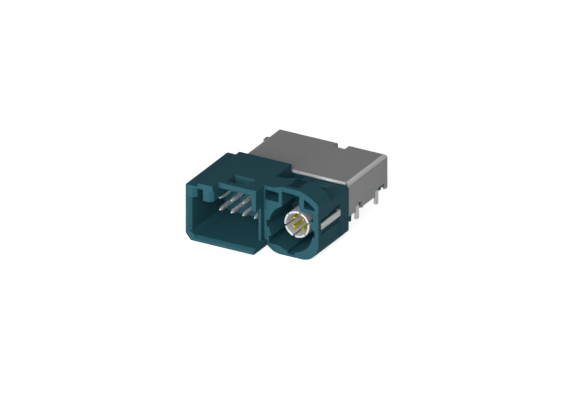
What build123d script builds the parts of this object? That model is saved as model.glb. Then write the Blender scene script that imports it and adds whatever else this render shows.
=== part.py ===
from build123d import *
import os

os.makedirs("parts", exist_ok=True)

# A board header with two ports side by side: an eight-way signal port on the left and a round,
# keyed and shielded data port on the right. The front looks along -Y and the board plane is Z = 0.
# The front of the housing overhangs the board edge and hangs below the board plane.

# Overall sizes
port_width = 14.1
data_width = 11.9
port_depth = 16.3
rear_wall = 1.0
front_reach = 24.3
drop = 3.56
left = -(port_width + data_width) / 2
right = (port_width + data_width) / 2
front = -front_reach
base = -drop
flange_back = front + port_depth + rear_wall

# Signal port
ledge_width = 2.6
ledge_height = 11.6
roof_height = 12.35
wall = 1.15
floor_wall = 1.1
cavity_height = 11.2
cavity_depth = 13.2
foot_chamfer_x = 1.15
foot_chamfer_z = 1.4
lead_in_depth = 0.7
lead_in_side = 0.67
lead_in_floor = 0.5
guide_width = 2.25
guide_underside = 9.07
guide_length = 9.0
rib_start = 3.8
rib_end = 5.88
rib_underside = 8.9
hood_setback = 2.3
hood_underside = 8.0
side_setback = 4.3
side_wall = 1.0
side_lead_in = 0.47
sill_overrun = 0.8
inner_chamfer_x = 0.95
inner_chamfer_z = 0.8
window_start = 7.05
window_end = 11.5
window_front = 3.6
window_back = 6.8

# Signal pins
pin_size = 0.63
pin_pitch = 2.54
pin_columns = 4
pin_rows = 2
last_pin_inset = 2.78
first_pin_z = 4.2
pin_front = 6.7
pin_point = 0.9
pin_tip = 0.22
pin_bend = 0.6
pin_tail_lead = 2.9
tail_length = 2.6
pin_clearance = 0.03
core_hole = 1.1
core_depth = 1.6

# Data port
axis_inset = 0.1
axis_z = 4.4
nose_front = 5.4
nose_back = 10.2
nose_underside = -1.4
nose_corner = 3.65
flange_low = 0.7
flange_depth = 3.1
arch_radius = 8.7
arch_wall = 1.2
block_height = 10.0
block_chamfer = 0.45
trench_width = 2.5
trench_floor = 9.05
trench_wall = 0.8
trench_wall_overlap = 0.3
trench_wall_low = 8.95
socket_radius = 4.75
socket_wall = 0.5
channel_half = 1.93
notch_reach = 4.9
notch_low = 2.6
notch_high = 4.2
notch_wall = 0.4
foot_notch_reach = 4.75
foot_notch_low = -3.95
foot_notch_high = -2.4
side_key_reach = 5.25
side_key_low = -0.62
side_key_high = 0.85
foot_key_left = 0.7
foot_key_right = 0.85
foot_key_reach = 5.3
pocket_start = 0.3
pocket_end = 3.2
pocket_low = 9.45
pocket_high = 11.5
pocket_depth = 3.6
corner_pocket_start = 3.15
corner_pocket_end = 0.8
corner_pocket_low = 9.4
arch_flat_half = 1.9
latch_half = 1.2
latch_front = 6.5
saddle_reach = 2.85
saddle_back = 15.45
saddle_drop = 0.5
side_window_low = 3.9
side_window_high = 7.15
side_window_front = 6.3
sleeve_radius = 5.55
side_window_rise = 0.5
side_recess = 0.25
pilaster = 1.0

# Housing behind the ports
rail_inner = 1.4
rail_outer = 0.3
rail_height = 4.5
end_rail_gap = 0.4
end_rail_inset = 0.65
rail_length = 13.7
cross_bar_depth = 1.6
peg_radius = 0.7
peg_length = 2.2
peg_lead = 12.9
front_peg_radius = 0.48
front_peg_length = 1.88
front_peg_lead = 2.0

# Data port metalwork
shell_half = 4.2
shell_clearance = 0.05
shell_flange = 1.5
shell_block_half = 4.0
shell_roof = 8.9
shell_length = 10.7
shell_cavity_half = 3.1
shell_cavity_roof = 8.0
ground_peg_radius = 0.55
ground_peg_inset = 0.6
ground_peg_lead = 4.7
ground_peg_length = 2.2
tube_outer = 2.75
tube_inner = 2.3
tube_front = 7.8
tube_seat = 0.5
rim_bevel = 0.15
groove_reach = 2.4
groove_width = 1.5
groove_angle = 225
cap_thickness = 1.0
cap_clearance = 0.04

# Spring strip in the window of the right side
strip_low = 5.1
strip_high = 6.4
strip_front = 6.8
strip_thickness = 0.3
strip_gap = 0.05
strip_seat = 1.4

# Data contacts and insulators
contact_pitch = 1.93
contact_size = 0.5
contact_front = 8.35
contact_nose = 0.14
jog_lead = 0.2
jog_run = 1.8
contact_jog = 1.75
contact_bend = 0.4
lower_tail_lead = 3.3
upper_tail_lead = 6.3
channel_size = 0.56
insulator_front = 13.2
insulator_clearance = 0.03

# Comb under the signal pins
comb_height = 1.3
comb_front_wall = 0.6
comb_back_wall = 0.8

# Shield cover
sheet = 0.5
cover_pin_inset = 1.4
cover_top = 10.7
cover_gap = 0.05
cover_length = 15.0
cover_bend = 0.75
cover_lip = 0.3
cover_lip_height = 0.55
cover_notch_start = 1.1
cover_notch_end = 3.8
cover_notch_depth = 2.1
cover_notch_low = 6.2
tab_start = 9.6
tab_end = 11.0
tab_reach = 0.45
tab_drop = 0.3
leg_width = 0.95
leg_length = 1.85
leg_tip = 0.3
leg_rise = 1.35
front_leg_lead = 3.45
rear_leg_lead = 11.0
relief_lead = 0.95
front_relief = 2.7
rear_relief = 4.0


def bar(x1, x2, z1, z2, y1, y2, mode=Mode.ADD):
    """A straight bar, or a straight cut, between three pairs of limits."""
    with BuildSketch(Plane.XZ.offset(-y1)) as section:
        with Locations(((x1 + x2) / 2, (z1 + z2) / 2)):
            Rectangle(x2 - x1, z2 - z1)
    extrude(section.sketch, amount=y1 - y2, mode=mode)


# Limits of the signal port in the part's frame
port_right = left + port_width
port_back = front + port_depth
roof = base + roof_height
cavity_left = left + wall
cavity_right = port_right - side_wall
cavity_floor = base + floor_wall
cavity_roof = base + cavity_height
cavity_back = front + cavity_depth
sill_right = port_right + sill_overrun

# Axis of the data port in the part's frame
port_x = right - data_width / 2 - axis_inset
port_z = base + axis_z
nose_y = front + nose_front
hood_y = front + nose_back
nose_low = base + nose_underside
block_top = base + block_height
flange_y = flange_back - flange_depth
shell_front = flange_back - shell_flange
socket_back = shell_front - socket_wall
tube_back = shell_front + tube_seat

strip_root = port_x + sleeve_radius

pin_xs = [port_right - last_pin_inset - pin_pitch * i for i in reversed(range(pin_columns))]
pin_zs = [base + first_pin_z + pin_pitch * i for i in range(pin_rows)]
pin_tails = [flange_back + pin_tail_lead + pin_pitch * i for i in range(pin_rows)]
pin_hole = pin_size + 2 * pin_clearance
cover_left = pin_xs[0] - cover_pin_inset

with BuildPart() as housing:
    # Signal port: a block with a low ledge on its left and a bevelled lower left edge
    with BuildSketch(Plane.XZ.offset(-front)):
        with BuildLine():
            Polyline(
                (left, base + foot_chamfer_z),
                (left, base + ledge_height),
                (left + ledge_width, base + ledge_height),
                (left + ledge_width, roof),
                (port_right, roof),
                (port_right, base),
                (left + foot_chamfer_x, base),
                close=True,
            )
        make_face()
    extrude(amount=-port_depth)
    bar(port_right, sill_right, base, cavity_floor, front, nose_y)

    # Data port nose: rounded below, arched above, level with the signal port's roof on its left
    with BuildSketch(Plane.XZ.offset(-nose_y)) as nose_outline:
        with Locations((port_x, port_z)):
            Circle(arch_radius)
        with Locations(((port_right + right) / 2, port_z + arch_radius / 2)):
            Rectangle(right - port_right, arch_radius, mode=Mode.INTERSECT)
        with Locations(((port_right + port_x) / 2, (port_z + roof) / 2)):
            Rectangle(port_x - port_right, roof - port_z)
        with Locations(((port_right + right) / 2, (nose_low + port_z) / 2)):
            Rectangle(right - port_right, port_z - nose_low)
        fillet(nose_outline.vertices().group_by(Axis.Y)[0], nose_corner)
    extrude(amount=nose_y - hood_y)

    # Block behind the nose and a flange round its rear, both with a bevelled upper right edge
    for start_y, low_z in ((hood_y, nose_low), (flange_y, base + flange_low)):
        with BuildSketch(Plane.XZ.offset(-start_y)) as block_outline:
            with Locations(((port_right + right) / 2, (low_z + block_top) / 2)):
                Rectangle(right - port_right, block_top - low_z)
            if low_z == nose_low:
                fillet(block_outline.vertices().group_by(Axis.Y)[0], nose_corner)
            chamfer(
                block_outline.vertices().group_by(Axis.Y)[-1].sort_by(Axis.X)[-1],
                block_chamfer,
            )
        extrude(amount=start_y - flange_back)
    bar(
        port_right,
        port_right + trench_width,
        base + trench_floor,
        block_top,
        hood_y,
        flange_back,
        Mode.SUBTRACT,
    )

    # Rear wall of the signal port, and the short wall that closes the trench under the cover
    bar(cover_left, port_right, base, block_top, port_back, flange_back)
    bar(
        port_right - rear_wall,
        port_right + trench_width + trench_wall_overlap,
        base + trench_wall_low,
        block_top,
        flange_back,
        flange_back + trench_wall,
    )

    # Rails that stand on the board behind the ports, with a cross bar
    rail_left = port_right - rail_inner
    rail_right = port_right + rail_outer
    end_rail_left = port_x + shell_block_half + end_rail_gap
    end_rail_right = right - end_rail_inset
    bar(rail_left, rail_right, 0, rail_height, flange_back, flange_back + rail_length)
    bar(end_rail_left, end_rail_right, 0, rail_height, flange_back, flange_back + rail_length)
    bar(
        rail_left,
        end_rail_right,
        0,
        rail_height,
        flange_back + rail_length - cross_bar_depth,
        flange_back + rail_length,
    )
    with BuildSketch(Plane.XY):
        with Locations(((rail_left + rail_right) / 2, flange_back + peg_lead)):
            Circle(peg_radius)
    extrude(amount=-peg_length)
    with BuildSketch(Plane.XY):
        with Locations(((end_rail_left + end_rail_right) / 2, flange_back + front_peg_lead)):
            Circle(front_peg_radius)
    extrude(amount=-front_peg_length)

    # Cavity of the signal port, with its lead-in on the left wall and on the sill
    with BuildSketch(Plane.XZ.offset(-front)) as cavity_outline:
        with Locations(((cavity_left + cavity_right) / 2, (cavity_floor + cavity_roof) / 2)):
            Rectangle(cavity_right - cavity_left, cavity_roof - cavity_floor)
        chamfer(
            cavity_outline.vertices().group_by(Axis.Y)[0].sort_by(Axis.X)[0],
            inner_chamfer_z,
            inner_chamfer_x,
        )
    extrude(amount=-cavity_depth, mode=Mode.SUBTRACT)
    bar(rib_end + left, port_right, base + hood_underside, roof, front, front + hood_setback, Mode.SUBTRACT)
    bar(cavity_right, sill_right, cavity_floor, base + hood_underside, front, front + side_setback, Mode.SUBTRACT)
    with BuildSketch(Plane.XY.offset(cavity_floor + inner_chamfer_z)):
        with BuildLine():
            Polyline(
                (cavity_left, front),
                (cavity_left - lead_in_side, front),
                (cavity_left, front + lead_in_depth),
                close=True,
            )
        make_face()
    extrude(amount=guide_underside - floor_wall - inner_chamfer_z, mode=Mode.SUBTRACT)
    with BuildSketch(Plane.YZ.offset(cavity_left + inner_chamfer_x)):
        with BuildLine():
            Polyline(
                (front, cavity_floor),
                (front, cavity_floor - lead_in_floor),
                (front + lead_in_depth, cavity_floor),
                close=True,
            )
        make_face()
    extrude(amount=sill_right - cavity_left - inner_chamfer_x, mode=Mode.SUBTRACT)
    with BuildSketch(Plane.XY.offset(cavity_floor)):
        with BuildLine():
            Polyline(
                (cavity_right, front + side_setback),
                (cavity_right + side_lead_in, front + side_setback),
                (cavity_right, front + side_setback + lead_in_depth),
                close=True,
            )
        make_face()
    extrude(amount=hood_underside - floor_wall, mode=Mode.SUBTRACT)

    # Guide block at the upper left and polarising rib under the roof, both with a bevelled front
    with BuildSketch(Plane.XY.offset(base + guide_underside)):
        with BuildLine():
            Polyline(
                (cavity_left, front),
                (left + guide_width - lead_in_depth, front),
                (left + guide_width, front + lead_in_depth),
                (left + guide_width, front + guide_length),
                (cavity_left, front + guide_length),
                close=True,
            )
        make_face()
    extrude(amount=cavity_height - guide_underside)
    with BuildSketch(Plane.XY.offset(base + rib_underside)):
        with BuildLine():
            Polyline(
                (left + rib_start, front),
                (left + rib_end - lead_in_depth, front),
                (left + rib_end, front + lead_in_depth),
                (left + rib_end, front + guide_length),
                (left + rib_start, front + guide_length),
                close=True,
            )
        make_face()
    extrude(amount=cavity_height - rib_underside)

    # Latch window in the roof of the signal port
    bar(
        left + window_start,
        left + window_end,
        cavity_roof,
        roof,
        front + window_front,
        front + window_back,
        Mode.SUBTRACT,
    )

    # Square passages for the signal pins and core holes between them
    with BuildSketch(Plane.XZ.offset(-cavity_back)):
        with Locations([(x, z) for x in pin_xs for z in pin_zs]):
            Rectangle(pin_hole, pin_hole)
    extrude(amount=cavity_back - flange_back, mode=Mode.SUBTRACT)
    with BuildSketch(Plane.XZ.offset(-cavity_back)):
        with Locations([(x + pin_pitch / 2, sum(pin_zs) / pin_rows) for x in pin_xs[:-1]]):
            Rectangle(core_hole, core_hole, rotation=45)
    extrude(amount=-core_depth, mode=Mode.SUBTRACT)

    # Keyed socket of the data port
    with BuildSketch(Plane.XZ.offset(-nose_y)):
        with Locations((port_x, port_z)):
            Circle(socket_radius)
            with Locations((notch_reach / 2, (notch_low + notch_high) / 2)):
                Rectangle(notch_reach, notch_high - notch_low)
            with Locations((-foot_notch_reach / 2, (foot_notch_low + foot_notch_high) / 2)):
                Rectangle(foot_notch_reach, foot_notch_high - foot_notch_low)
            with Locations((0, (side_key_low + side_key_high) / 2)):
                Rectangle(2 * side_key_reach, side_key_high - side_key_low)
            with Locations(((foot_key_right - foot_key_left) / 2, -foot_key_reach / 2)):
                Rectangle(foot_key_left + foot_key_right, foot_key_reach)
    extrude(amount=nose_y - socket_back, mode=Mode.SUBTRACT)
    bar(
        port_x - channel_half,
        port_x + channel_half,
        port_z,
        port_z + arch_radius - arch_wall,
        nose_y,
        hood_y,
        Mode.SUBTRACT,
    )
    with BuildSketch(Plane.XZ.offset(-socket_back)):
        with Locations((port_x, port_z)):
            Circle(tube_outer + shell_clearance)
    extrude(amount=-socket_wall, mode=Mode.SUBTRACT)

    # Core pockets in the face of the nose, left and right of the latch channel
    bar(
        port_right + pocket_start,
        port_right + pocket_end,
        base + pocket_low,
        base + pocket_high,
        nose_y,
        nose_y + pocket_depth,
        Mode.SUBTRACT,
    )
    with BuildSketch(Plane.XZ.offset(-nose_y)):
        with Locations((port_x, port_z)):
            Circle(arch_radius - arch_wall)
        with Locations(
            (
                right - (corner_pocket_start + corner_pocket_end) / 2,
                base + corner_pocket_low + arch_radius / 2,
            )
        ):
            Rectangle(corner_pocket_start - corner_pocket_end, arch_radius, mode=Mode.INTERSECT)
    extrude(amount=-pocket_depth, mode=Mode.SUBTRACT)

    # Flat on top of the arch, a latch slot through it that is open to the rear, and the saddle
    bar(
        port_x - arch_flat_half,
        port_x + arch_flat_half,
        port_z + (arch_radius**2 - arch_flat_half**2) ** 0.5,
        port_z + arch_radius,
        nose_y,
        hood_y,
        Mode.SUBTRACT,
    )
    bar(
        port_x - latch_half,
        port_x + latch_half,
        port_z + socket_radius,
        port_z + arch_radius,
        front + latch_front,
        hood_y,
        Mode.SUBTRACT,
    )
    bar(
        port_right + trench_width,
        port_x + saddle_reach,
        block_top - saddle_drop,
        block_top,
        hood_y,
        front + saddle_back,
        Mode.SUBTRACT,
    )

    # Seat of the metal shell, open to the rear
    seat_half = shell_half + shell_clearance
    bar(
        port_x - seat_half,
        port_x + seat_half,
        port_z - seat_half,
        port_z + seat_half,
        shell_front,
        flange_back,
        Mode.SUBTRACT,
    )

    # Window in the right side, stepped above, which bares the wall round the socket
    for start_y, low_z, high_z in (
        (front + side_window_front, base + side_window_low, base + side_window_high),
        (hood_y, base + side_window_high, base + side_window_high + side_window_rise),
    ):
        with BuildSketch(Plane.XZ.offset(-start_y)):
            with Locations(((port_x + right) / 2, (low_z + high_z) / 2)):
                Rectangle(right - port_x, high_z - low_z)
            with Locations((port_x, port_z)):
                Circle(sleeve_radius, mode=Mode.SUBTRACT)
                with Locations(
                    ((notch_reach + notch_wall) / 2, (notch_low + notch_high - notch_wall) / 2)
                ):
                    Rectangle(
                        notch_reach + notch_wall,
                        notch_high - notch_low + notch_wall,
                        mode=Mode.SUBTRACT,
                    )
        extrude(amount=start_y - flange_y, mode=Mode.SUBTRACT)

    # Slot at the rear of the window for the root of the spring strip
    bar(
        strip_root - strip_thickness - strip_gap,
        strip_root + strip_gap,
        base + strip_low - strip_gap,
        base + strip_high + strip_gap,
        flange_y - strip_thickness - 2 * strip_gap,
        flange_y + strip_seat + strip_gap,
        Mode.SUBTRACT,
    )

    # Shallow recess of the right side between the front pilaster and the flange
    bar(
        right - side_recess,
        right,
        nose_low,
        base + side_window_high,
        nose_y + pilaster,
        flange_y,
        Mode.SUBTRACT,
    )
housing.part.label = "housing"
export_step(housing.part, "parts/housing.step")

# Signal pins: square wire with a pointed front, bent down to the board
for row in range(pin_rows):
    for column in range(pin_columns):
        pin_x = pin_xs[column]
        pin_z = pin_zs[row]
        tail_y = pin_tails[row]
        with BuildPart() as signal_pin:
            with BuildLine(Plane.YZ.offset(pin_x)) as wire:
                FilletPolyline(
                    (front + pin_front + pin_point, pin_z),
                    (tail_y, pin_z),
                    (tail_y, -tail_length),
                    radius=pin_bend,
                )
            with BuildSketch(Plane(wire.line @ 0, x_dir=(1, 0, 0), z_dir=wire.line % 0)):
                Rectangle(pin_size, pin_size)
            sweep()
            with BuildSketch(Plane.XZ.offset(-front - pin_front - pin_point)):
                with Locations((pin_x, pin_z)):
                    Rectangle(pin_size, pin_size)
            with BuildSketch(Plane.XZ.offset(-front - pin_front)):
                with Locations((pin_x, pin_z)):
                    Rectangle(pin_tip, pin_tip)
            loft()
            chamfer(signal_pin.faces().sort_by(Axis.Z)[0].edges(), pin_size / 4)
        name = f"signal_pin_{row * pin_columns + column + 1}"
        signal_pin.part.label = name
        export_step(signal_pin.part, f"parts/{name}.step")

# Outer conductor: the round tube that the mating plug slides over, with a shallow inner groove
with BuildPart() as outer_conductor:
    with BuildSketch(Plane.XZ.offset(-front - tube_front)):
        with Locations((port_x, port_z)):
            Circle(tube_outer)
            Circle(tube_inner, mode=Mode.SUBTRACT)
    extrude(amount=front + tube_front - tube_back)
    chamfer(outer_conductor.faces().sort_by(Axis.Y)[0].edges(), rim_bevel)
    with BuildSketch(Plane.XZ.offset(-front - tube_front)):
        with Locations((port_x, port_z)):
            with PolarLocations(groove_reach / 2, 1, start_angle=groove_angle):
                Rectangle(groove_reach, groove_width)
    extrude(amount=front + tube_front - tube_back, mode=Mode.SUBTRACT)
outer_conductor.part.label = "data_outer_conductor"
export_step(outer_conductor.part, "parts/data_outer_conductor.step")

# Metal shell: a square flange in the housing and a hood on the board with four pegs
with BuildPart() as shell:
    bar(
        port_x - shell_half,
        port_x + shell_half,
        port_z - shell_half,
        port_z + shell_half,
        shell_front,
        flange_back,
    )
    bar(
        port_x - shell_block_half,
        port_x + shell_block_half,
        0,
        base + shell_roof,
        flange_back,
        flange_back + shell_length,
    )
    with BuildSketch(Plane.XY):
        peg_x = shell_block_half - ground_peg_inset
        with Locations(
            (port_x - peg_x, flange_back + ground_peg_lead),
            (port_x + peg_x, flange_back + ground_peg_lead),
            (port_x - peg_x, flange_back + shell_length - cap_thickness - ground_peg_radius),
            (port_x + peg_x, flange_back + shell_length - cap_thickness - ground_peg_radius),
        ):
            Circle(ground_peg_radius)
    extrude(amount=-ground_peg_length)
    with BuildSketch(Plane.XZ.offset(-shell_front)):
        with Locations((port_x, port_z)):
            Circle(tube_outer)
    extrude(amount=-tube_seat, mode=Mode.SUBTRACT)
    bar(
        port_x - shell_cavity_half + ground_peg_inset,
        port_x + shell_cavity_half - ground_peg_inset,
        port_z - tube_outer,
        base + shell_cavity_roof,
        tube_back,
        flange_back,
        Mode.SUBTRACT,
    )
    bar(
        port_x - shell_cavity_half + ground_peg_inset,
        port_x + shell_cavity_half - ground_peg_inset,
        0,
        base + shell_cavity_roof,
        flange_back,
        flange_back + shell_length,
        Mode.SUBTRACT,
    )
shell.part.label = "data_shell"
export_step(shell.part, "parts/data_shell.step")

# Spring strip along the right side, with a root stepped inwards into its slot
strip_right = right - strip_gap
with BuildPart() as strip:
    for start_x, end_x, start_y, end_y in (
        (strip_right - strip_thickness, strip_right, front + strip_front, flange_y - strip_gap),
        (
            strip_root - strip_thickness,
            strip_right,
            flange_y - strip_gap - strip_thickness,
            flange_y - strip_gap,
        ),
        (
            strip_root - strip_thickness,
            strip_root,
            flange_y - strip_gap - strip_thickness,
            flange_y + strip_seat,
        ),
    ):
        bar(start_x, end_x, base + strip_low, base + strip_high, start_y, end_y)
strip.part.label = "spring_strip"
export_step(strip.part, "parts/spring_strip.step")

# Cap that closes the rear of the shell
cavity_half = shell_cavity_half - ground_peg_inset
with BuildPart() as cap:
    bar(
        port_x - cavity_half + cap_clearance,
        port_x + cavity_half - cap_clearance,
        0,
        base + shell_cavity_roof - cap_clearance,
        flange_back + shell_length - cap_thickness,
        flange_back + shell_length,
    )
cap.part.label = "data_shell_cap"
export_step(cap.part, "parts/data_shell_cap.step")

# Four data contacts in a square: square wire, stepped up over the board edge, then bent down
contact_paths = []
for side in (-1, 1):
    for level, tail_lead in ((-1, lower_tail_lead), (1, upper_tail_lead)):
        start_z = port_z + level * contact_pitch / 2
        with BuildLine(Plane.YZ.offset(port_x + side * contact_pitch / 2)) as route:
            FilletPolyline(
                (front + contact_front, start_z),
                (tube_back + jog_lead, start_z),
                (tube_back + jog_lead + jog_run, start_z + contact_jog),
                (flange_back + tail_lead, start_z + contact_jog),
                (flange_back + tail_lead, -tail_length),
                radius=contact_bend,
            )
        contact_paths.append(route.line)

for index, path in enumerate(contact_paths):
    with BuildPart() as contact:
        with BuildSketch(Plane(path @ 0, x_dir=(1, 0, 0), z_dir=path % 0)):
            Rectangle(contact_size, contact_size)
        sweep(path=path)
        chamfer(contact.faces().sort_by(Axis.Y)[0].edges(), contact_nose)
    name = f"data_contact_{index + 1}"
    contact.part.label = name
    export_step(contact.part, f"parts/{name}.step")

# Front insulator inside the outer conductor and rear insulator inside the shell
with BuildPart() as front_insulator:
    with BuildSketch(Plane.XZ.offset(-front - insulator_front)):
        with Locations((port_x, port_z)):
            Circle(tube_inner - insulator_clearance)
            with GridLocations(contact_pitch, contact_pitch, 2, 2):
                Rectangle(channel_size, channel_size, mode=Mode.SUBTRACT)
    extrude(amount=front + insulator_front - tube_back)
front_insulator.part.label = "data_front_insulator"
export_step(front_insulator.part, "parts/data_front_insulator.step")

with BuildPart() as rear_insulator:
    bar(
        port_x - cavity_half + insulator_clearance,
        port_x + cavity_half - insulator_clearance,
        port_z - tube_outer + insulator_clearance,
        base + shell_cavity_roof - insulator_clearance,
        tube_back,
        flange_back,
    )
    bar(
        port_x - cavity_half + insulator_clearance,
        port_x + cavity_half - insulator_clearance,
        0,
        base + shell_cavity_roof - insulator_clearance,
        flange_back,
        flange_back + shell_length - cap_thickness,
    )
    for path in contact_paths:
        with BuildSketch(Plane(path @ 0, x_dir=(1, 0, 0), z_dir=path % 0)):
            Rectangle(channel_size, channel_size)
        sweep(path=path, mode=Mode.SUBTRACT)
rear_insulator.part.label = "data_rear_insulator"
export_step(rear_insulator.part, "parts/data_rear_insulator.step")

# Comb that spaces the signal pin tails where they enter the board
comb_left = pin_xs[0] - pin_pitch / 2 + sheet
comb_right = pin_xs[-1] + pin_pitch / 2 - pin_clearance
comb_front = pin_tails[0] - pin_size / 2 - comb_front_wall
comb_back = pin_tails[-1] + pin_size / 2 + comb_back_wall
with BuildPart() as comb:
    bar(comb_left, comb_right, 0, comb_height, comb_front, comb_back)
    with BuildSketch(Plane.XY):
        with Locations([(x, pin_tails[-1]) for x in pin_xs]):
            Rectangle(pin_hole, pin_hole)
        with Locations([(x, (comb_front + pin_tails[0] + pin_hole / 2) / 2) for x in pin_xs]):
            Rectangle(pin_hole, pin_tails[0] + pin_hole / 2 - comb_front)
    extrude(amount=comb_height, mode=Mode.SUBTRACT)
comb.part.label = "pin_comb"
export_step(comb.part, "parts/pin_comb.step")

# Shield cover: one folded sheet over the rear of the header, with solder legs on both sides
with BuildPart() as cover:
    cover_front = flange_back + cover_gap
    bar(cover_left, right, 0, base + cover_top, cover_front, flange_back + cover_length)
    top_face = cover.faces().sort_by(Axis.Z)[-1]
    fillet(
        top_face.edges().filter_by(Axis.Y) + [top_face.edges().sort_by(Axis.Y)[-1]],
        cover_bend,
    )
    offset(
        amount=-sheet,
        openings=[cover.faces().sort_by(Axis.Z)[0], cover.faces().sort_by(Axis.Y)[0]],
    )
    bar(
        cover_left + cover_bend,
        right - cover_bend,
        base + cover_top - cover_lip_height,
        base + cover_top,
        cover_front - cover_lip,
        cover_front,
    )
    lip_face = cover.faces().sort_by(Axis.Y)[0]
    fillet(lip_face.edges().sort_by(Axis.Z)[-1], cover_lip * 0.9)
    bar(
        port_right + cover_notch_start,
        port_right + cover_notch_end,
        base + cover_notch_low,
        base + cover_top,
        flange_back + cover_length - cover_notch_depth,
        flange_back + cover_length,
        Mode.SUBTRACT,
    )
    bar(
        cover_left - tab_reach,
        cover_left + sheet,
        base + cover_top - tab_drop - sheet,
        base + cover_top - tab_drop,
        flange_back + tab_start,
        flange_back + tab_end,
    )
    for leg_lead, relief in ((front_leg_lead, front_relief), (rear_leg_lead, rear_relief)):
        bar(
            cover_left,
            right,
            0,
            leg_rise,
            flange_back + leg_lead - relief_lead,
            flange_back + leg_lead - relief_lead + relief,
            Mode.SUBTRACT,
        )
        for side_x in (cover_left, right - sheet):
            with BuildSketch(Plane.YZ.offset(side_x)) as leg_outline:
                with Locations((flange_back + leg_lead, (leg_rise - leg_length) / 2)):
                    Rectangle(leg_width, leg_rise + leg_length)
                fillet(leg_outline.vertices().group_by(Axis.Y)[0], leg_tip)
            extrude(amount=sheet)
cover.part.label = "shield_cover"
export_step(cover.part, "parts/shield_cover.step")
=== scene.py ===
import math

import bmesh
import bpy
from mathutils import Matrix, Vector


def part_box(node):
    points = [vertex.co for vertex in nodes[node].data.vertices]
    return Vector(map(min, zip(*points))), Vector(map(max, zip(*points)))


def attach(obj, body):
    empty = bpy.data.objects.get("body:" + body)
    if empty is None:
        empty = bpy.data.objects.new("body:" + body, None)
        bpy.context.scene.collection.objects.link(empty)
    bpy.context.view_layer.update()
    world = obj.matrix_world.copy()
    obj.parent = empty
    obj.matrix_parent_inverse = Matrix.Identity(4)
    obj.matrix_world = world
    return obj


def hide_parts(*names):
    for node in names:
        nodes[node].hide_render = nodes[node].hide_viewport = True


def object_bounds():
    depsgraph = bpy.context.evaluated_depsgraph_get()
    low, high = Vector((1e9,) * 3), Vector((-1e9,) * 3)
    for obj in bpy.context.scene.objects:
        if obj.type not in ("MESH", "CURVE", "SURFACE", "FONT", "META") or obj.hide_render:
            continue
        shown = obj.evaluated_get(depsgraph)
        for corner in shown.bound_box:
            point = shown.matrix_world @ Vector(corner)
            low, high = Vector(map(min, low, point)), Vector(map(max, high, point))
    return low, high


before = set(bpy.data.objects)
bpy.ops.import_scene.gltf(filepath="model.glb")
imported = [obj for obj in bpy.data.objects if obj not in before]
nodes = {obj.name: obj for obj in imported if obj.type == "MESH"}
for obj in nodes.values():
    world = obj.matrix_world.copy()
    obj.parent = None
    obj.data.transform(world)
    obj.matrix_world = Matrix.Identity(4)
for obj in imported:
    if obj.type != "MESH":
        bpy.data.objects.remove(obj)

cad_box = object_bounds()
MM = 0.001

# Grain of the moulded plastic and of the plated metal
NOISE_MIDDLE = 0.5
CLOUD_SCALE = 260.0
CLOUD_DETAIL = 3.0
CLOUDING = 0.08
GRAIN_SCALE = 9000.0
GRAIN_DETAIL = 2.0
MOULDED_SPREAD = 0.18
MOULDED_GLOSS = 0.1
MOULDED_BUMP = 0.25
MOULDED_RELIEF = 0.01 * MM
STREAK_STRETCH = (60.0, 4200.0, 4200.0)
STREAK_DETAIL = 3.0
PATCH_SCALE = 220.0
PATCH_DETAIL = 4.0
PLATED_SPREAD = 0.2
PLATED_GLOSS = 0.5
PLATED_BUMP = 0.1
PLATED_RELIEF = 0.005 * MM

# Eased edges
WELD = 1e-6
FLAT_ANGLE = math.radians(0.6)
HARD_ANGLE = math.radians(25)
SMOOTH_ANGLE = math.radians(40)
CROWDING = 2.2
EASE_STEPS = 2

# The round conductor
FINGERS = 6
FINGER_LENGTH = 5.4 * MM
FIRST_SLOT = math.radians(15)
SLOT_ANGLE = math.radians(9)
SLEEVE_BORE = 2.3 * MM
FINGER_STEPS = 12
RIM_ROUND = 0.1 * MM
RIM_STEPS = 3
RIM_ANGLE = 1.0
SLEEVE_SMOOTH_ANGLE = math.radians(35)
NEARLY = 1e-7

# The folded cover
# Legs below this height take a near-white copy of the sheet: partly the real brightness of dipped
# solder, partly a painted highlight
DIP_AND_HIGHLIGHT_HEIGHT = 1.0 * MM
LIP_DEPTH = 0.28 * MM
LEG_PLACES = (-3.55 * MM, 4.0 * MM)
LEG_HALF = 0.6 * MM
BEND_TILT = 0.2

# The picture
PICTURE_WIDTH = 580
PIXELS_PER_MM = 5.25
EYE_DISTANCE = 0.4


# Shared effects, as node groups


def new_group(name, inputs, outputs):
    """An empty shader node group with the named sockets, and its two end nodes."""
    group = bpy.data.node_groups.new(name, "ShaderNodeTree")
    for label, kind, value in inputs:
        socket = group.interface.new_socket(label, in_out="INPUT", socket_type=kind)
        socket.default_value = value
    for label, kind in outputs:
        group.interface.new_socket(label, in_out="OUTPUT", socket_type=kind)
    ends = group.nodes.new("NodeGroupInput"), group.nodes.new("NodeGroupOutput")
    return group, ends[0], ends[1]


def add(tree, kind, **settings):
    """A new node of that kind in the tree, with its settings."""
    node = tree.nodes.new(kind)
    for name, value in settings.items():
        setattr(node, name, value)
    return node


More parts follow.
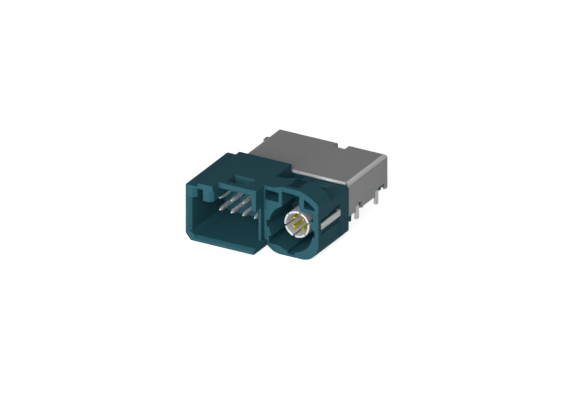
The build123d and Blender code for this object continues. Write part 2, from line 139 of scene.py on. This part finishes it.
def moulded_group():
    """Fine spark-eroded grain with soft flow clouds, for moulded plastic."""
    group, start, end = new_group(
        "moulded_skin",
        [
            ("Colour", "NodeSocketColor", (0.5, 0.5, 0.5, 1)),
            ("Clouding", "NodeSocketFloat", CLOUDING),
            ("Grain Scale", "NodeSocketFloat", GRAIN_SCALE),
            ("Roughness", "NodeSocketFloat", 0.5),
        ],
        [("Colour", "NodeSocketColor"), ("Roughness", "NodeSocketFloat"), ("Height", "NodeSocketFloat")],
    )
    link = group.links.new
    where = add(group, "ShaderNodeTexCoord")
    cloud = add(group, "ShaderNodeTexNoise")
    cloud.inputs["Scale"].default_value = CLOUD_SCALE
    cloud.inputs["Detail"].default_value = CLOUD_DETAIL
    link(where.outputs["Object"], cloud.inputs["Vector"])
    grain = add(group, "ShaderNodeTexNoise")
    grain.inputs["Detail"].default_value = GRAIN_DETAIL
    link(where.outputs["Object"], grain.inputs["Vector"])
    link(start.outputs["Grain Scale"], grain.inputs["Scale"])
    centred = add(group, "ShaderNodeMath", operation="SUBTRACT")
    link(cloud.outputs["Fac"], centred.inputs[0])
    centred.inputs[1].default_value = NOISE_MIDDLE
    scaled = add(group, "ShaderNodeMath", operation="MULTIPLY_ADD")
    link(centred.outputs[0], scaled.inputs[0])
    link(start.outputs["Clouding"], scaled.inputs[1])
    scaled.inputs[2].default_value = 1.0
    tint = add(group, "ShaderNodeVectorMath", operation="SCALE")
    link(start.outputs["Colour"], tint.inputs[0])
    link(scaled.outputs[0], tint.inputs["Scale"])
    link(tint.outputs[0], end.inputs["Colour"])
    spread = add(group, "ShaderNodeMath", operation="MULTIPLY_ADD")
    link(centred.outputs[0], spread.inputs[0])
    spread.inputs[1].default_value = MOULDED_SPREAD
    link(start.outputs["Roughness"], spread.inputs[2])
    link(spread.outputs[0], end.inputs["Roughness"])
    link(grain.outputs["Fac"], end.inputs["Height"])
    return group


def plated_group():
    """Plated metal: faint rolling streaks along X and soft patches of uneven plating."""
    group, start, end = new_group(
        "plated_skin",
        [
            ("Colour", "NodeSocketColor", (0.5, 0.5, 0.5, 1)),
            ("Streaks", "NodeSocketFloat", 0.06),
            ("Patches", "NodeSocketFloat", 0.08),
            ("Roughness", "NodeSocketFloat", 0.35),
        ],
        [("Colour", "NodeSocketColor"), ("Roughness", "NodeSocketFloat"), ("Height", "NodeSocketFloat")],
    )
    link = group.links.new
    where = add(group, "ShaderNodeTexCoord")
    drawn = add(group, "ShaderNodeMapping")
    drawn.inputs["Scale"].default_value = STREAK_STRETCH
    link(where.outputs["Object"], drawn.inputs["Vector"])
    streak = add(group, "ShaderNodeTexNoise")
    streak.inputs["Scale"].default_value = 1.0
    streak.inputs["Detail"].default_value = STREAK_DETAIL
    link(drawn.outputs[0], streak.inputs["Vector"])
    patch = add(group, "ShaderNodeTexNoise")
    patch.inputs["Scale"].default_value = PATCH_SCALE
    patch.inputs["Detail"].default_value = PATCH_DETAIL
    link(where.outputs["Object"], patch.inputs["Vector"])
    shade = add(group, "ShaderNodeMath", operation="SUBTRACT")
    link(streak.outputs["Fac"], shade.inputs[0])
    shade.inputs[1].default_value = NOISE_MIDDLE
    blot = add(group, "ShaderNodeMath", operation="SUBTRACT")
    link(patch.outputs["Fac"], blot.inputs[0])
    blot.inputs[1].default_value = NOISE_MIDDLE
    first = add(group, "ShaderNodeMath", operation="MULTIPLY_ADD")
    link(shade.outputs[0], first.inputs[0])
    link(start.outputs["Streaks"], first.inputs[1])
    first.inputs[2].default_value = 1.0
    second = add(group, "ShaderNodeMath", operation="MULTIPLY_ADD")
    link(blot.outputs[0], second.inputs[0])
    link(start.outputs["Patches"], second.inputs[1])
    link(first.outputs[0], second.inputs[2])
    tint = add(group, "ShaderNodeVectorMath", operation="SCALE")
    link(start.outputs["Colour"], tint.inputs[0])
    link(second.outputs[0], tint.inputs["Scale"])
    link(tint.outputs[0], end.inputs["Colour"])
    spread = add(group, "ShaderNodeMath", operation="MULTIPLY_ADD")
    link(blot.outputs[0], spread.inputs[0])
    spread.inputs[1].default_value = PLATED_SPREAD
    link(start.outputs["Roughness"], spread.inputs[2])
    link(spread.outputs[0], end.inputs["Roughness"])
    link(streak.outputs["Fac"], end.inputs["Height"])
    return group


moulded_skin = moulded_group()
plated_skin = plated_group()


# Finishes


def finish_with(name, group, values, metallic, gloss, bump, distance):
    """A material whose colour, roughness and height come from a group with its own values."""
    material = bpy.data.materials.new(name)
    material.use_nodes = True
    tree = material.node_tree
    shader = tree.nodes["Principled BSDF"]
    shader.inputs["Metallic"].default_value = metallic
    shader.inputs["Specular IOR Level"].default_value = gloss
    skin = add(tree, "ShaderNodeGroup", node_tree=group)
    for label, value in values.items():
        skin.inputs[label].default_value = value
    relief = add(tree, "ShaderNodeBump")
    relief.inputs["Strength"].default_value = bump
    relief.inputs["Distance"].default_value = distance
    tree.links.new(skin.outputs["Colour"], shader.inputs["Base Color"])
    tree.links.new(skin.outputs["Roughness"], shader.inputs["Roughness"])
    tree.links.new(skin.outputs["Height"], relief.inputs["Height"])
    tree.links.new(relief.outputs["Normal"], shader.inputs["Normal"])
    return material


def moulded(name, colour, roughness):
    """A moulded plastic."""
    values = {"Colour": (*colour, 1), "Roughness": roughness}
    return finish_with(name, moulded_skin, values, 0.0, MOULDED_GLOSS, MOULDED_BUMP, MOULDED_RELIEF)


def plated(name, colour, roughness, streaks=0.05, patches=0.08, metallic=1.0):
    """A plated or dipped metal."""
    values = {"Colour": (*colour, 1), "Roughness": roughness, "Streaks": streaks, "Patches": patches}
    return finish_with(name, plated_skin, values, metallic, PLATED_GLOSS, PLATED_BUMP, PLATED_RELIEF)


water_blue = moulded("water_blue_plastic", (0.024, 0.100, 0.126), 0.5)
black_comb = moulded("black_plastic", (0.018, 0.018, 0.020), 0.5)
pale_insulator = moulded("pale_insulator", (0.45, 0.46, 0.46), 0.5)
tin_sheet = plated("tinned_sheet", (0.46, 0.465, 0.47), 0.42, metallic=0.3)
cast_zinc = plated("die_cast_zinc", (0.55, 0.55, 0.55), 0.4, streaks=0.02, patches=0.14)
bright_plating = plated("plated_brass", (0.80, 0.82, 0.87), 0.38, streaks=0.03, metallic=0.4)
# Near-white copy of the tinned sheet: a painted highlight for the front lip and the bends that face the
# light
painted_highlight_tin = plated("tin_with_painted_highlight", (0.97, 0.97, 0.97), 0.4, streaks=0.02, patches=0.04, metallic=0.35)
# Near-white copy of the tinned sheet for the legs: partly the real brightness of dipped solder, partly a
# painted highlight
dipped_and_highlit = plated("dipped_solder_with_painted_highlight", (0.98, 0.98, 0.98), 0.4, streaks=0.0, patches=0.05, metallic=0.1)
sprung_tin = plated("sprung_strip", (0.9, 0.9, 0.9), 0.42, streaks=0.03, metallic=0.5)
gold = plated("gold_contact", (0.80, 0.66, 0.05), 0.32, streaks=0.03, metallic=0.8)
tin_pin = plated("tinned_pin", (0.97, 0.97, 0.97), 0.33, metallic=0.4)


# Pieces


def eased(name, node_name, material, width):
    """The node's own form with its hard edges eased by a small round, as moulds and dies leave it; edges
    that touch a short edge stay sharp.
    """
    source = nodes[node_name]
    mesh = bpy.data.meshes.new(name)
    form = bmesh.new()
    form.from_mesh(source.data)
    bmesh.ops.remove_doubles(form, verts=form.verts, dist=WELD)
    bmesh.ops.dissolve_limit(
        form,
        angle_limit=FLAT_ANGLE,
        use_dissolve_boundaries=False,
        verts=form.verts,
        edges=form.edges,
    )
    crowded = {v for e in form.edges if e.calc_length() < CROWDING * width for v in e.verts}
    hard = [
        e
        for e in form.edges
        if len(e.link_faces) == 2
        and e.calc_face_angle(0.0) > HARD_ANGLE
        and not crowded.intersection(e.verts)
    ]
    bmesh.ops.bevel(
        form,
        geom=hard,
        offset=width,
        offset_type="OFFSET",
        segments=EASE_STEPS,
        profile=0.5,
        affect="EDGES",
        clamp_overlap=False,
        material=-1,
    )
    form.to_mesh(mesh)
    form.free()
    mesh.materials.append(material)
    mesh.polygons.foreach_set("use_smooth", [True] * len(mesh.polygons))
    mesh.set_sharp_from_angle(angle=SMOOTH_ANGLE)
    piece = bpy.data.objects.new(name, mesh)
    bpy.context.scene.collection.objects.link(piece)
    weighted = piece.modifiers.new("weighted", "WEIGHTED_NORMAL")
    weighted.keep_sharp = True
    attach(piece, "root")
    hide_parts(node_name)
    return piece


def spun_ring(form, axis, radii, ends, start, sweep, steps):
    """Adds a ring, or a part of one, with a square section, round an axis along Y."""
    inner, outer = radii
    turn = Matrix.Rotation(-start, 3, "Y")
    corners = [
        form.verts.new(axis + turn @ Vector((radius, 0, 0)) + Vector((0, y, 0)))
        for radius, y in ((inner, ends[0]), (outer, ends[0]), (outer, ends[1]), (inner, ends[1]))
    ]
    section = form.faces.new(corners)
    whole = sweep > 2 * math.pi - 0.001
    bmesh.ops.spin(
        form,
        geom=[section],
        cent=axis,
        axis=(0, -1, 0),
        angle=sweep,
        steps=steps,
        use_merge=whole,
    )


def coat(node_name, material):
    """The node keeps its own mesh and takes a better finish."""
    body = nodes[node_name].data
    body.materials.clear()
    body.materials.append(material)


eased("moulded_housing", "housing", water_blue, 0.07 * MM)

# The folded cover: its front lip and the bend faces that face the light take a near-white painted
# highlight; its legs take a near-white copy that is partly the real brightness of dipped solder and
# partly a painted highlight
lip_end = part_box("shield_cover")[0].y + LIP_DEPTH
cover = eased("folded_cover", "shield_cover", tin_sheet, 0.05 * MM)
cover.data.materials.append(painted_highlight_tin)
cover.data.materials.append(dipped_and_highlit)
cover_form = bmesh.new()
cover_form.from_mesh(cover.data)
bmesh.ops.bisect_plane(
    cover_form,
    geom=cover_form.verts[:] + cover_form.edges[:] + cover_form.faces[:],
    dist=NEARLY,
    plane_co=(0, 0, DIP_AND_HIGHLIGHT_HEIGHT),
    plane_no=(0, 0, 1),
)
for face in cover_form.faces:
    spot = face.calc_center_median()
    on_leg = min(abs(spot.y - y) for y in LEG_PLACES) < LEG_HALF
    # Faces tilted up and to the right, mostly the bends, are where the light catches; they take the
    # painted highlight
    highlit_bend = abs(face.normal.x) > BEND_TILT and face.normal.z > BEND_TILT
    # Legs below the dip line take the near-white dipped copy: real solder brightness and a painted
    # highlight
    if spot.z < DIP_AND_HIGHLIGHT_HEIGHT and on_leg:
        face.material_index = 2
    # The front lip and the light-facing bend faces take the near-white painted highlight
    elif spot.y < lip_end or highlit_bend:
        face.material_index = 1
cover_form.to_mesh(cover.data)
cover_form.free()
eased("bright_strip", "spring_strip", sprung_tin, 0.04 * MM)
coat("data_shell", cast_zinc)
coat("data_shell_cap", cast_zinc)

# The round conductor, split at its front into six sprung fingers
low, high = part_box("data_outer_conductor")
tube_axis = Vector(((low.x + high.x) / 2, 0, (low.z + high.z) / 2))
tube_radii = (SLEEVE_BORE, (high.x - low.x) / 2)
finger_end = low.y + FINGER_LENGTH
finger_turn = 2 * math.pi / FINGERS
sleeve_form = bmesh.new()
for finger in range(FINGERS):
    spun_ring(
        sleeve_form,
        tube_axis,
        tube_radii,
        (low.y, finger_end),
        FIRST_SLOT + finger_turn * finger + SLOT_ANGLE / 2,
        finger_turn - SLOT_ANGLE,
        FINGER_STEPS,
    )
whole_steps = FINGERS * FINGER_STEPS
spun_ring(sleeve_form, tube_axis, tube_radii, (finger_end, high.y), 0.0, 2 * math.pi, whole_steps)
bmesh.ops.recalc_face_normals(sleeve_form, faces=sleeve_form.faces)
rims = [
    e
    for e in sleeve_form.edges
    if all(abs(v.co.y - low.y) < NEARLY for v in e.verts) and e.calc_face_angle(0.0) > RIM_ANGLE
]
bmesh.ops.bevel(
    sleeve_form,
    geom=rims,
    offset=RIM_ROUND,
    offset_type="OFFSET",
    segments=RIM_STEPS,
    profile=0.5,
    affect="EDGES",
    clamp_overlap=False,
    material=-1,
)
sleeve_mesh = bpy.data.meshes.new("slotted_conductor")
sleeve_form.to_mesh(sleeve_mesh)
sleeve_form.free()
sleeve_mesh.materials.append(bright_plating)
sleeve_mesh.polygons.foreach_set("use_smooth", [True] * len(sleeve_mesh.polygons))
sleeve_mesh.set_sharp_from_angle(angle=SLEEVE_SMOOTH_ANGLE)
sleeve = bpy.data.objects.new("slotted_conductor", sleeve_mesh)
bpy.context.scene.collection.objects.link(sleeve)
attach(sleeve, "root")
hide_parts("data_outer_conductor")

coat("data_front_insulator", pale_insulator)
coat("data_rear_insulator", pale_insulator)
coat("pin_comb", black_comb)
for count in range(1, 5):
    eased(f"gold_contact_{count}", f"data_contact_{count}", gold, 0.05 * MM)
for count in range(1, 9):
    eased(f"tinned_pin_{count}", f"signal_pin_{count}", tin_pin, 0.04 * MM)


# Floor, light and camera

floor_mesh = bpy.data.meshes.new("floor")
slab = bmesh.new()
bmesh.ops.create_grid(slab, x_segments=1, y_segments=1, size=1.5)
bmesh.ops.translate(slab, vec=Vector((0, 0, cad_box[0].z - 0.00002)), verts=slab.verts)
slab.to_mesh(floor_mesh)
slab.free()
floor = bpy.data.objects.new("floor", floor_mesh)
bpy.context.scene.collection.objects.link(floor)
pale = bpy.data.materials.new("pale_floor")
pale.use_nodes = True
pale_shader = pale.node_tree.nodes["Principled BSDF"]
pale_shader.inputs["Base Color"].default_value = (0.9, 0.9, 0.9, 1)
pale_shader.inputs["Roughness"].default_value = 0.9
pale_shader.inputs["Specular IOR Level"].default_value = 0.0
paths = add(pale.node_tree, "ShaderNodeLightPath")
glow = add(pale.node_tree, "ShaderNodeMath", operation="MULTIPLY")
pale.node_tree.links.new(paths.outputs["Is Camera Ray"], glow.inputs[0])
glow.inputs[1].default_value = 0.82
pale_shader.inputs["Emission Color"].default_value = (1, 1, 1, 1)
pale.node_tree.links.new(glow.outputs[0], pale_shader.inputs["Emission Strength"])
floor_mesh.materials.append(pale)

world = bpy.data.worlds.new("studio")
bpy.context.scene.world = world
world.use_nodes = True
sky = world.node_tree.nodes["Background"]
sky.inputs["Color"].default_value = (1, 1, 1, 1)
rays = add(world.node_tree, "ShaderNodeLightPath")
level = add(world.node_tree, "ShaderNodeMapRange")
world.node_tree.links.new(rays.outputs["Is Camera Ray"], level.inputs["Value"])
level.inputs["To Min"].default_value = 0.16
level.inputs["To Max"].default_value = 1.0
world.node_tree.links.new(level.outputs[0], sky.inputs["Strength"])


def softbox(name, position, aim, size, power):
    """A square studio lamp that faces a point."""
    light = bpy.data.lights.new(name, "AREA")
    light.shape = "SQUARE"
    light.size = size
    light.energy = power
    lamp = bpy.data.objects.new(name, light)
    lamp.location = position
    lamp.rotation_mode = "QUATERNION"
    lamp.rotation_quaternion = (aim - position).to_track_quat("-Z", "Y")
    bpy.context.scene.collection.objects.link(lamp)


middle = (cad_box[0] + cad_box[1]) / 2
softbox("front_key", middle + Vector((0.068, -0.19, 0.11)), middle, 0.12, 0.24)
softbox("low_fill", middle + Vector((-0.03, -0.22, 0.03)), middle, 0.08, 0.27)
softbox("right_fill", middle + Vector((0.14, -0.03, 0.16)), middle, 0.12, 0.012)
softbox("rear_edge", middle + Vector((0.04, 0.18, 0.12)), middle, 0.06, 0.01)

eye = bpy.data.cameras.new("camera")
eye.type = "ORTHO"
eye.ortho_scale = PICTURE_WIDTH / PIXELS_PER_MM * MM
eye.clip_start = 0.01
eye.clip_end = 10.0
camera = bpy.data.objects.new("camera", eye)
towards_eye = Vector((0.4436, -0.7883, 0.4265)).normalized()
across = Vector((0.8715, 0.4904, 0.0)).normalized()
upright = towards_eye.cross(across)
target = Vector((-2.453, -2.415, -1.912)) * MM
stand = Matrix((across, upright, towards_eye)).transposed().to_4x4()
stand.translation = target + towards_eye * EYE_DISTANCE
camera.matrix_world = stand
bpy.context.scene.collection.objects.link(camera)
bpy.context.scene.camera = camera
bpy.context.scene.view_settings.view_transform = "Standard"
